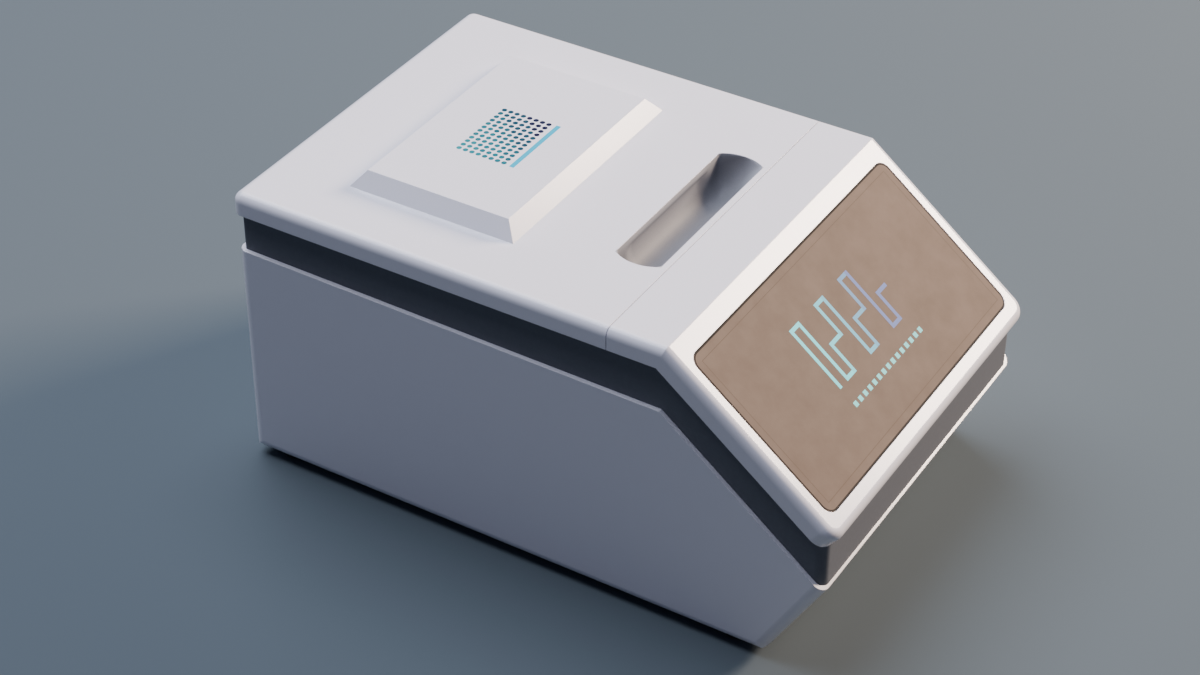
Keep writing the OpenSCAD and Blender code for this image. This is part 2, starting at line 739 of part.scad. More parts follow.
module mid_frame() {
  top = z_under + tongue_h;
  inner_r = rear_corner_r - band_inset;
  frame_front_r = rake_edge_r - front_lip;
  boss_top = z_under - lid_gap - striker_t - boss_gap;
  color([0.2, 0.22, 0.25]) difference() {
    union() {
      intersection() {
        linear_extrude(far) difference() {
          frame_plan(band_inset, y_frame_front, frame_front_r, inner_r);
          frame_plan(band_inset + wall, y_frame_front + wall + front_lip, frame_front_r - wall, 0.5);
        }
        union() {
          across(far) polygon([[far, z_rim_back], [far, top], [y_bezel_rear - wall, top],
            [y_bezel_rear - wall, z_top - carry_d], [y_bend + carry_d * tan(slope_angle / 2), z_top - carry_d],
            on_face(slope_len + 9, carry_d), [y_front, z_rim_front], [y_case_front, z_rim_front],
            [y_rim_bend, z_rim_bend], [y_case_back, z_rim_back]]);
          intersection() {
            casing_volume(wall + socket_fit, 2);
            across(far) polygon([for (y = [y_case_back + 9, y_case_back, y_rim_bend, y_case_front - 9]) [y, rim_z(y) + 0.3],
              for (y = [y_case_front - 9, y_rim_bend, y_case_back, y_case_back + 9]) [y, rim_z(y) - socket_h]]);
          }
        }
      }
      // deck, its front wall and the hinge trough
      intersection() {
        linear_extrude(far) frame_plan(band_inset + 1, y_frame_front + 1, 0, inner_r - 1);
        union() {
          translate([-half_w, y_partition, z_deck - wall]) cube([body_w, y_trough + wall - y_partition, wall]);
          translate([-half_w, y_partition, z_deck - wall]) cube([body_w, wall, 14]);
          translate([-half_w, y_trough, z_trough - wall]) cube([body_w, wall, z_deck - z_trough + wall]);
          translate([-half_w, y_trough, z_trough - wall]) cube([body_w, y_back - y_trough, wall]);
        }
      }
      both_sides(latch_x) translate([0, latch_y, z_deck - 1]) cylinder(h = boss_top - z_deck + 1, r = magnet_r + 1.5);
    }
    // room for the bezel's skin and for the walls on both sides of the seam
    difference() {
      bezel_block(-socket_fit, socket_fit);
      bezel_block(band_inset - 0.2, 20);
    }
    translate([-half_w, y_bezel_rear - wall - 0.3, z_under - socket_fit])
      cube([body_w, seam + 2 * wall + 0.6, far]);
    translate([0, pad_y, z_deck - wall - 1])
      plate(2 * (surround_w + surround_gap), 2 * (surround_d + surround_gap), wall + 2, 5);
    // notches that the hinge arms swing through
    both_sides(hinge_x) translate([-arm_t / 2 - 1.5, y_frame_back - 2 * wall, hinge_z - hub_r - 1])
      cube([arm_t + 3, 3 * wall, far]);
    for (x = [-1, 0, 1]) translate([x * bezel_screw_x, y_bezel_rear - 8, z_deck - wall - 1]) cylinder(h = 5, r = screw_r);
    both_sides(hinge_x) for (s = [-1, 1]) translate([s * 11, hinge_y - 4, z_trough - wall - 1])
      cylinder(h = 5, r = screw_r);
  }
}

module striker_plates() {
  color("silver") both_sides(latch_x) translate([0, latch_y, z_under - lid_gap - striker_t - boss_gap])
    cylinder(h = striker_t, r = magnet_r);
}

module lid_bumpers() {
  color("black") for (y = bumper_ys) both_sides(bumper_x) translate([0, y, z_deck]) {
    cylinder(h = deck_drop - lid_gap, r = 5);
    cylinder(h = 2, r = 7);
  }
}

module hinge_brackets() {
  lift = hinge_z - z_trough;
  ear_x = arm_t / 2 + side_gap;
  color("dimgray") both_sides(hinge_x) translate([0, hinge_y, z_trough]) difference() {
    union() {
      translate([-15, -11, 0]) cube([30, 18, 2.5]);
      for (s = [0, 1]) mirror([s, 0, 0]) translate([ear_x + ear_t / 2, 0, lift]) across(ear_t) {
        circle(r = hub_r);
        polygon([[-hub_r, 0], [hub_r, 0], [7, -lift + 1], [-10, -lift + 1]]);
      }
    }
    translate([0, 0, lift]) rotate([0, 90, 0]) translate([0, 0, -20]) cylinder(h = 40, r = pin_r);
    for (s = [-1, 1]) translate([s * 11, -4, -1]) cylinder(h = 5, r = screw_r);
  }
}

module hinge_screws() {
  color("silver") both_sides(hinge_x) for (s = [-1, 1])
    translate([s * 11, hinge_y - 4, z_trough + 2.5]) screw(2.5 + wall, screw_r, 2.4);
}

module hinge_pins() {
  reach = arm_t / 2 + side_gap + ear_t;
  color("silver") both_sides(hinge_x) translate([0, hinge_y, hinge_z]) rotate([0, 90, 0]) {
    translate([0, 0, -reach]) cylinder(h = 2 * reach, r = pin_r);
    translate([0, 0, reach]) cylinder(h = 1.2, r = pin_r + 1);
    translate([0, 0, -reach - 1.2]) cylinder(h = 1.2, r = pin_r + 1);
  }
}

// Lower casing

// The casing's outer form inset by i, carried on above the rim by open
module casing_volume(i, open) {
  slip = i / cos(rake);
  y_b = y_case_back - i;
  z_b = z_floor + i;
  foot_y = y_case_front + slip + (z_rim_front - z_b) * tan(rake);
  y_f = y_case_front + slip - open * tan(rake);
  intersection() {
    across(2 * (case_half_w - i)) rounded_poly([[foot_y, z_b], [y_b, z_b], [y_b, z_rim_back + open],
      [y_rim_bend, z_rim_bend + open], [y_f, z_rim_front + open + (y_f - y_case_front) * (z_rim_bend - z_rim_front)
        / (y_rim_bend - y_case_front)]], [toe_r - i, keel_r - i, 0, 0, 0]);
    translate([0, y_case_front + slip, z_rim_front]) rotate([rake, 0, 0]) translate([0, 0, -far])
      linear_extrude(2 * far) rounded_poly([[-case_half_w + i, 0], [case_half_w - i, 0],
        [case_half_w - i, 2 * far], [-case_half_w + i, 2 * far]], [rake_edge_r - i, rake_edge_r - i, 0, 0]);
    linear_extrude(far) rounded_poly([[-case_half_w + i, -far], [case_half_w - i, -far], [case_half_w - i, y_b],
      [-case_half_w + i, y_b]], [0, 0, rear_corner_r - i, rear_corner_r - i]);
    along(-far, far) rounded_poly([[-case_half_w + i, z_b], [case_half_w - i, z_b], [case_half_w - i, far],
      [-case_half_w + i, far]], [keel_r - i, keel_r - i, 0, 0]);
  }
}

base_screw_at = [for (x = [-1, 1], y = [0, 0.5, 1])
  [x * (base_half_w - 2.5), base_y0 + 2.5 + y * (base_y1 - base_y0 - 5)]];

module lower_casing() {
  color("white") difference() {
    union() {
      difference() {
        casing_volume(0, 0);
        casing_volume(wall, 20);
      }
      for (p = base_screw_at) translate([p[0], p[1], z_floor + 2]) cylinder(h = 6, r = boss_r);
      for (y = foot_ys) both_sides(foot_x) translate([0, y, z_floor + 2]) cylinder(h = 6, r = boss_r);
    }
    // opening for the rear panel
    translate([0, 0, (panel_z0 + panel_z1) / 2]) along(y_panel - 1, far)
      rounded_rect(2 * (panel_half_w - panel_lip), panel_z1 - panel_z0 - 2 * panel_lip, 5);
    // stepped opening for the base plate
    translate([0, (base_y0 + base_y1) / 2, z_floor - 1]) plate(2 * base_half_w, base_y1 - base_y0, sheet_t + 1, 4);
    translate([0, (base_y0 + base_y1) / 2, z_floor - 1])
      plate(2 * (base_half_w - base_lip), base_y1 - base_y0 - 2 * base_lip, wall + 2, 3);
    for (p = base_screw_at) translate([p[0], p[1], z_floor - 1]) cylinder(h = 8, r = screw_r);
    for (y = foot_ys) both_sides(foot_x) translate([0, y, z_floor - 1]) cylinder(h = 8, r = screw_r);
    for (p = panel_screw_at) translate([p[0], 0, p[1]]) along(y_panel - 1, y_panel + 2) circle(r = screw_r);
  }
}

module base_plate() {
  vent_w = base_half_w / 2;
  vent_ys = [for (y = [pad_y - sink_d / 2 + 12:9:pad_y + sink_d / 2 - 12]) y];
  color("gainsboro") difference() {
    translate([0, (base_y0 + base_y1) / 2, z_floor])
      plate(2 * base_half_w - 0.4, base_y1 - base_y0 - 0.4, sheet_t, 3.8);
    for (p = base_screw_at) translate([p[0], p[1], z_floor - 1]) cylinder(h = 8, r = screw_r);
    for (y = vent_ys) both_sides(vent_w / 2 + 12) translate([0, y, z_floor - 1]) linear_extrude(5) slot_hole(vent_w, 4);
  }
}

module base_screws() {
  color("silver") for (p = base_screw_at) translate([p[0], p[1], z_floor]) mirror([0, 0, 1])
    screw(6, screw_r, head_r);
}

module feet() {
  color("black") for (y = foot_ys) both_sides(foot_x) translate([0, y, 0]) difference() {
    rotate_extrude() rounded_poly([[0, 0], [foot_r - 1, 0], [foot_r, foot_h], [0, foot_h]], [0, 1, 0, 0]);
    translate([0, 0, -1]) cylinder(h = foot_h - 1, r = head_r + 1);
    translate([0, 0, -1]) cylinder(h = foot_h + 2, r = screw_r);
  }
}

module foot_screws() {
  color("silver") for (y = foot_ys) both_sides(foot_x) translate([0, y, foot_h - 2]) mirror([0, 0, 1])
    screw(7, screw_r, head_r);
}

// Rear panel and its fittings

panel_screw_at = [for (x = [-1, -0.34, 0.34, 1], z = [-1, 1])
  [x * (panel_half_w - 3), (panel_z0 + panel_z1) / 2 + z * ((panel_z1 - panel_z0) / 2 - 3)]];

module rear_panel() {
  grille_r = fan_bore_r - 2;
  grille_pitch = grille_r / 5.7;
  color("gainsboro") difference() {
    translate([0, 0, (panel_z0 + panel_z1) / 2]) along(panel_in, y_panel)
      rounded_rect(2 * panel_half_w, panel_z1 - panel_z0, 4);
    both_sides(fan_x) translate([0, 0, z_fan]) for (k = [-5:5]) translate([0, 0, k * grille_pitch])
      along(panel_in - 1, y_panel + 1)
        slot_hole(2 * sqrt(grille_r * grille_r - grille_pitch * grille_pitch * k * k), 0.56 * grille_pitch);
    for (p = panel_screw_at) translate([p[0], 0, p[1]]) along(panel_in - 1, y_panel + 1) circle(r = screw_r);
    translate([inlet_x, 0, port_z]) along(panel_in - 1, y_panel + 1) rounded_rect(28, 20, 2);
    translate([switch_x, 0, port_z]) along(panel_in - 1, y_panel + 1) rounded_rect(13.4, 19.4, 0.5);
    translate([usb_x, 0, port_z]) along(panel_in - 1, y_panel + 1) rounded_rect(12.2, 11, 0.5);
    translate([network_x, 0, port_z]) along(panel_in - 1, y_panel + 1) rounded_rect(16.2, 13.6, 0.5);
  }
}

module panel_screws() {
  color("silver") for (p = panel_screw_at) translate([p[0], panel_in, p[1]]) rotate([90, 0, 0])
    screw(sheet_t + 1.8, screw_r, 2.6);
}

module mains_inlet() {
  depth = 18;
  color([0.1, 0.1, 0.11]) translate([inlet_x, 0, port_z]) difference() {
    union() {
      along(y_panel, y_panel + 2) rounded_rect(31, 21, 3);
      along(y_panel - depth - 3, y_panel + 0.5) rounded_rect(28, 20, 2);
    }
    along(y_panel - depth, y_panel + 3) rounded_poly([[-12, -8], [12, -8], [12, 4], [8, 8], [-8, 8], [-12, 4]],
      [1, 1, 1, 1, 1, 1]);
    for (p = [[-7, -1], [0, 3], [7, -1]]) translate([p[0], 0, p[1]])
      along(y_panel - depth - 4, y_panel - depth + 1) rounded_rect(2, 4, 0.2);
  }
}

module inlet_pins() {
  color("gold") translate([inlet_x, 0, port_z]) for (p = [[-7, -1], [0, 3], [7, -1]])
    translate([p[0], 0, p[1]]) along(y_panel - 27, y_panel - 5.5) rounded_rect(2, 4, 0.2);
}

module switch_body() {
  color([0.1, 0.1, 0.11]) translate([switch_x, 0, port_z]) difference() {
    union() {
      along(y_panel, y_panel + 1.4) rounded_rect(16, 21, 1.5);
      along(y_panel - 14, y_panel + 0.5) rounded_rect(13.4, 19.4, 0.5);
    }
    along(y_panel - 8, y_panel + 3) rounded_rect(11, 18, 0.3);
    translate([0, y_panel - 1, 0]) rotate([0, 90, 0]) translate([0, 0, -6.3]) cylinder(h = 12.6, r = 1.25);
  }
}

module power_rocker() {
  color([0.08, 0.08, 0.09]) translate([switch_x, y_panel - 1, port_z]) rotate([rocker_rest, 0, 0]) {
    across(10.4) rounded_poly([[-2.6, -4], [-1, -8.2], [2.6, -8.2], [1.5, 0], [2.6, 8.2], [-1, 8.2], [-2.6, 4]],
      [0, 0, 0.6, 0, 0.6, 0, 0]);
    rotate([0, 90, 0]) translate([0, 0, -6.1]) cylinder(h = 12.2, r = 1.2);
  }
}

module usb_port() {
  color("silver") translate([usb_x, 0, port_z]) {
    difference() {
      along(y_panel - 16, y_panel + 0.6) rounded_rect(12, 10.8, 0.4);
      along(y_panel - 14, y_panel + 1) rounded_rect(10.6, 9.4, 0.3);
    }
    along(y_panel - 15, y_panel - 6) rounded_rect(5.6, 3.2, 0.2);
  }
}

module network_port() {
  color("silver") translate([network_x, 0, port_z]) difference() {
    along(y_panel - 18, y_panel + 0.6) rounded_rect(16, 13.4, 0.4);
    along(y_panel - 14, y_panel + 1) rounded_poly([[-6, -5], [6, -5], [6, 2.4], [3, 2.4], [3, 4.8], [-3, 4.8],
      [-3, 2.4], [-6, 2.4]], [0, 0, 0, 0, 0, 0, 0, 0]);
  }
}

// Sample block and cooling

module block_surround() {
  ledge_z = z_block - 6;
  color([0.16, 0.17, 0.18]) translate([0, pad_y, 0]) difference() {
    union() {
      translate([0, 0, ledge_z]) plate(2 * surround_w, 2 * surround_d, z_deck - ledge_z, 4.8);
      translate([0, 0, z_deck]) plate(2 * surround_w + 9, 2 * surround_d + 9, 1.5, 7);
    }
    translate([0, 0, z_block - 2]) plate(2 * bay_w, 2 * bay_d, 40, 4);
    translate([0, 0, ledge_z - 1]) plate(block_w + 2 * gasket_t, block_d + 2 * gasket_t, 20, 3 + gasket_t);
  }
}

module block_gasket() {
  color("lightgray") translate([0, pad_y, z_block - 6])
    frame_plate(block_w + 2 * gasket_t, block_d + 2 * gasket_t, 6.4, 3 + gasket_t, block_w, block_d, 3);
}

module sample_block() {
  color("silver") translate([0, pad_y, z_block_foot]) difference() {
    union() {
      plate(block_w, block_d, block_h, 3);
      plate(block_w + 2 * block_flange, block_d + 2 * block_flange, block_flange_t, 4);
    }
    for (c = [0:well_columns - 1], r = [0:well_rows - 1])
      translate([(c - (well_columns - 1) / 2) * well_pitch, (r - (well_rows - 1) / 2) * well_pitch,
        block_h - well_h]) cylinder(h = well_h + 0.01, r1 = well_tip_r, r2 = well_r, $fn = 24);
  }
}

clamp_screw_at = [for (x = [-1, 0, 1], y = [-1, 1])
  [x * (block_w / 2 + 9), pad_y + y * (block_d / 2 + 9)]];

module block_clamp() {
  w = block_w + 2 * block_flange;
  d = block_d + 2 * block_flange;
  color("ivory") difference() {
    translate([0, pad_y, z_module]) plate(w + 20, d + 20, module_t + block_flange_t + 3, 6);
    translate([0, pad_y, z_module - 1]) plate(w, d, module_t + block_flange_t + 1, 4);
    translate([0, pad_y, z_module]) plate(block_w + 0.6, block_d + 0.6, 40, 3.3);
    for (p = clamp_screw_at) translate([p[0], p[1], z_module - 1]) cylinder(h = 30, r = screw_r);
  }
}

module clamp_screws() {
  color("silver") for (p = clamp_screw_at)
    translate([p[0], p[1], z_module + module_t + block_flange_t + 3]) screw(16, screw_r, head_r);
}

module peltier_modules() {
  color("white") for (x = [-1, 0, 1], y = [-0.5, 0.5])
    translate([x * (module_w + 2), pad_y + y * (module_d + 2), z_module]) plate(module_w, module_d, module_t, 0.5);
}

module heat_sink() {
  n = floor((sink_w / 2 - fin_t / 2) / fin_pitch);
  base_w = 2 * (post_x + post_r + 2);
  color("silver") difference() {
    union() {
      translate([0, pad_y, z_module - sink_base_t]) plate(base_w, sink_d, sink_base_t, 3);
      along(pad_y - sink_d / 2, pad_y + sink_d / 2) for (k = [-n:n])
        translate([k * fin_pitch - fin_t / 2, z_fin]) square([fin_t, fin_h + 1]);
    }
    for (p = clamp_screw_at) translate([p[0], p[1], z_module - 6]) cylinder(h = 7, r = screw_r);
  }
}

module sink_posts() {
  color("silver") for (y = post_ys) both_sides(post_x) translate([0, y, z_base_top])
    cylinder(h = z_module - sink_base_t - z_base_top, r = post_r, $fn = 6);
}

module air_duct() {
  y0 = pad_y + sink_d / 2;
  color("gainsboro") difference() {
    translate([0, 0, z_fan]) along(y0, panel_in) rounded_rect(2 * (duct_half_w + duct_t), fan_w + 2 * duct_t, 1);
    translate([0, 0, z_fan]) along(y0 - 1, panel_in + 1) rounded_rect(2 * duct_half_w, fan_w, 0);
  }
}

module fan_frames() {
  y1 = fan_y + fan_t;
  color([0.13, 0.13, 0.14]) both_sides(fan_x) translate([0, 0, z_fan]) difference() {
    union() {
      difference() {
        along(fan_y, y1) rounded_rect(fan_w, fan_w, 4);
        along(fan_y - 1, y1 + 1) circle(r = fan_bore_r);
      }
      along(y1 - 4, y1) {
        circle(r = fan_hub_r);
        for (a = [45:90:315]) rotate(a) translate([0, -2]) square([fan_bore_r + 1, 4]);
      }
      along(y1 - 16, y1) circle(r = 4);
    }
    along(y1 - 20, y1 + 1) circle(r = shaft_r + shaft_fit);
    for (x = [-1, 1], z = [-1, 1]) translate([x * (fan_w / 2 - 4.3), 0, z * (fan_w / 2 - 4.3)])
      along(fan_y - 1, y1 + 1) circle(r = 2.15);
  }
}

// A fan rotor turning about Y, centred on its shaft
module fan_rotor() {
  y0 = fan_y + 2;
  y1 = fan_y + fan_t - 5;
  difference() {
    along(y0, y1) circle(r = fan_hub_r);
    along(y0 + 2, y1 + 1) circle(r = fan_hub_r - 2);
  }
  along(y0 + 1, fan_y + fan_t - 0.5) circle(r = shaft_r);
  intersection() {
    along(y0 - 1, y1 + 1) difference() {
      circle(r = blade_r);
      circle(r = fan_hub_r - 1);
    }
    for (k = [0:blades - 1]) rotate([0, k * 360 / blades, 0]) translate([fan_hub_r - 1.5, (y0 + y1) / 2, 0])
      rotate([38, 0, 0]) translate([0, -11, -0.8]) cube([blade_r, 22, 1.6]);
  }
}

module fan_rotor_left() {
  color([0.16, 0.16, 0.17]) translate([-fan_x, 0, z_fan]) fan_rotor();
}

module fan_rotor_right() {
  color([0.16, 0.16, 0.17]) translate([fan_x, 0, z_fan]) fan_rotor();
}

// Electronics on the base plate

module power_supply() {
  color("lightgray") translate(supply_at) difference() {
    cube(supply);
    for (x = [14:5:supply[0] - 14]) translate([x, 12, supply[2] - 1]) cube([2, 50, 2]);
    translate([6, supply[1] - 14, 12]) cube([supply[0] - 12, 15, supply[2] - 11]);
  }
}

module supply_standoffs() {
  color("gold") for (x = [post_in, supply[0] - post_in], y = [8, supply[1] - 20])
    translate([supply_at[0] + x, supply_at[1] + y, z_base_top]) cylinder(h = supply_at[2] - z_base_top, r = 3, $fn = 6);
}

module main_board() {
  color("darkgreen") translate(board_at) cube(board);
}

module board_standoffs() {
  color("gold") for (x = [post_in, board[0] - post_in], y = [5, board[1] - 5])
    translate([board_at[0] + x, board_at[1] + y, z_base_top]) cylinder(h = board_at[2] - z_base_top, r = 3, $fn = 6);
}

module board_components() {
  z = board_at[2] + board_t;
  color("dimgray") translate([board_at[0], board_at[1], z]) {
    for (k = [0:3]) translate([board[0] * (0.13 + 0.22 * k), 22, 0]) cylinder(h = 22, r = 6);
    for (k = [0:2]) translate([board[0] * (0.08 + 0.3 * k), 46, 0]) cube([board[0] * 0.24, 12, 18]);
    translate([board[0] * 0.2, 78, 0]) cube([24, 24, 2.4]);
    for (k = [0:1]) translate([board[0] * 0.62, 76 + k * 22, 0]) cube([14, 10, 2]);
    for (k = [0:4]) translate([board[0] * (0.06 + 0.18 * k), board[1] - 12, 0]) cube([10, 8, 9]);
  }
}

lower_casing();
base_plate();
base_screws();
feet();
foot_screws();
rear_panel();
panel_screws();
mid_frame();
front_bezel();
bezel_screws();
touch_glass();
screen_frame();
screen_gasket();
display_module();
display_spacers();
display_board();
hinge_brackets();
hinge_screws();
hinge_pins();
striker_plates();
lid_bumpers();
block_surround();
block_gasket();
sample_block();
block_clamp();
clamp_screws();
peltier_modules();
heat_sink();
sink_posts();
air_duct();
fan_frames();
fan_rotor_left();
fan_rotor_right();
power_supply();
supply_standoffs();
main_board();
board_standoffs();
board_components();
mains_inlet();
inlet_pins();
switch_body();
power_rocker();
usb_port();
network_port();
lid_cover();
lid_liner();
liner_screws();
hinge_arms();
arm_screws();
latch_magnets();
platen_frame();
heated_platen();
heater_mat();
platen_insulation();
guide_pins();
platen_springs();
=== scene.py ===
"""Looks of a benchtop thermal cycler: finishes, printed marks, light and camera."""

import json
import math

import bmesh
import bpy
from mathutils import Matrix, Vector


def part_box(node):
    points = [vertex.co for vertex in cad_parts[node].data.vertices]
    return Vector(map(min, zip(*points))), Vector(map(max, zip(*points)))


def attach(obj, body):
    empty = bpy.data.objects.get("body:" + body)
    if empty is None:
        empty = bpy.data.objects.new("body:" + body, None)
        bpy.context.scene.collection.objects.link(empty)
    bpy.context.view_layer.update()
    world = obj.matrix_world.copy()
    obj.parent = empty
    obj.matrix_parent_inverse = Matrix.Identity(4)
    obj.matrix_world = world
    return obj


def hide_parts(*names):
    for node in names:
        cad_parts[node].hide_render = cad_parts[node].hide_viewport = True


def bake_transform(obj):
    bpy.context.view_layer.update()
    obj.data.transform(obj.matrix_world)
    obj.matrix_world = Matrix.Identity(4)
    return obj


MM = 0.001
# Depth of a moulded or coated surface's texture, in metres
GRAIN_DEPTH = 0.1 * MM
# Noise values between which a soft patch of colour fades in
PATCH_LOW, PATCH_HIGH = 0.3, 0.7
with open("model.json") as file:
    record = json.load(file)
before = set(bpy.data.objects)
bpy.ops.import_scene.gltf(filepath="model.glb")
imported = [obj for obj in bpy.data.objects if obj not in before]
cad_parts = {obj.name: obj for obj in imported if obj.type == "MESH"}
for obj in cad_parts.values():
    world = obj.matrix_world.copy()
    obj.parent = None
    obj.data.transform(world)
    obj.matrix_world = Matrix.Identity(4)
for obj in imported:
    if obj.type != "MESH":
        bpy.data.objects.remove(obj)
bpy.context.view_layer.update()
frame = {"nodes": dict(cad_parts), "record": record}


def srgb(code):
    """Linear colour of an sRGB hex code, with alpha 1."""
    parts = [int(code[i:i + 2], 16) / 255 for i in (0, 2, 4)]
    return [c / 12.92 if c <= 0.04045 else ((c + 0.055) / 1.055) ** 2.4 for c in parts] + [1.0]


def add(tree, kind, **values):
    """Adds a shader node, sets its named inputs or properties, and returns it."""
    made = tree.nodes.new(kind)
    for name, value in values.items():
        socket = made.inputs.get(name.replace("_", " "))
        if socket is not None:
            if isinstance(value, bpy.types.NodeSocket):
                tree.links.new(value, socket)
            else:
                socket.default_value = value
        else:
            setattr(made, name, value)
    return made


def finish_of(name, colour, roughness, metallic=0.0, grain=0.0, grain_mm=0.6, cloud=0.0, cloud_mm=12.0,
              cloud_colour=None, edge_mm=0.0, specular=0.5, ior=1.5, recess_shade_colour=None, recess_shade_mm=26.0):
    """A surface finish. grain is a fine bump, cloud mixes in a second colour in soft patches, edge_mm
    rounds the sharp edges that catch the light, and the shade colour is painted shade: it darkens what lies
    deep in a recess."""
    mat = bpy.data.materials.new(name)
    mat.use_nodes = True
    tree = mat.node_tree
    tree.nodes.clear()
    shader = add(tree, "ShaderNodeBsdfPrincipled", Base_Color=srgb(colour), Roughness=roughness,
                 Metallic=metallic, IOR=ior, Specular_IOR_Level=specular)
    add(tree, "ShaderNodeOutputMaterial", Surface=shader.outputs[0])
    place = add(tree, "ShaderNodeTexCoord").outputs["Object"] if cloud or grain else None
    # Painted shade: ambient occlusion blends the base colour towards a dark colour where a recess is deep
    if recess_shade_colour:
        open_sky = add(tree, "ShaderNodeAmbientOcclusion", samples=8, Distance=recess_shade_mm * MM)
        painted_shade_mix = add(tree, "ShaderNodeMix", data_type="RGBA", Factor=open_sky.outputs["AO"])
        painted_shade_mix.inputs[6].default_value = srgb(recess_shade_colour)
        painted_shade_mix.inputs[7].default_value = srgb(colour)
        tree.links.new(painted_shade_mix.outputs[2], shader.inputs["Base Color"])
    if cloud:
        patches = add(tree, "ShaderNodeTexNoise", Vector=place, Scale=1 / (cloud_mm * MM), Detail=4.0,
                      Roughness=0.6)
        spread = add(tree, "ShaderNodeMapRange", Value=patches.outputs["Fac"], From_Min=PATCH_LOW,
                     From_Max=PATCH_HIGH, To_Max=cloud)
        mix = add(tree, "ShaderNodeMix", data_type="RGBA", Factor=spread.outputs[0])
        mix.inputs[6].default_value = srgb(colour)
        mix.inputs[7].default_value = srgb(cloud_colour)
        tree.links.new(mix.outputs[2], shader.inputs["Base Color"])
    normal = None
    if edge_mm:
        normal = add(tree, "ShaderNodeBevel", samples=6, Radius=edge_mm * MM).outputs[0]
    if grain:
        noise = add(tree, "ShaderNodeTexNoise", Vector=place, Scale=1 / (grain_mm * MM), Detail=2.0)
        bump = add(tree, "ShaderNodeBump", Height=noise.outputs["Fac"], Strength=grain, Distance=GRAIN_DEPTH)
        if normal:
            tree.links.new(normal, bump.inputs["Normal"])
        normal = bump.outputs[0]
    if normal:
        tree.links.new(normal, shader.inputs["Normal"])
    return mat


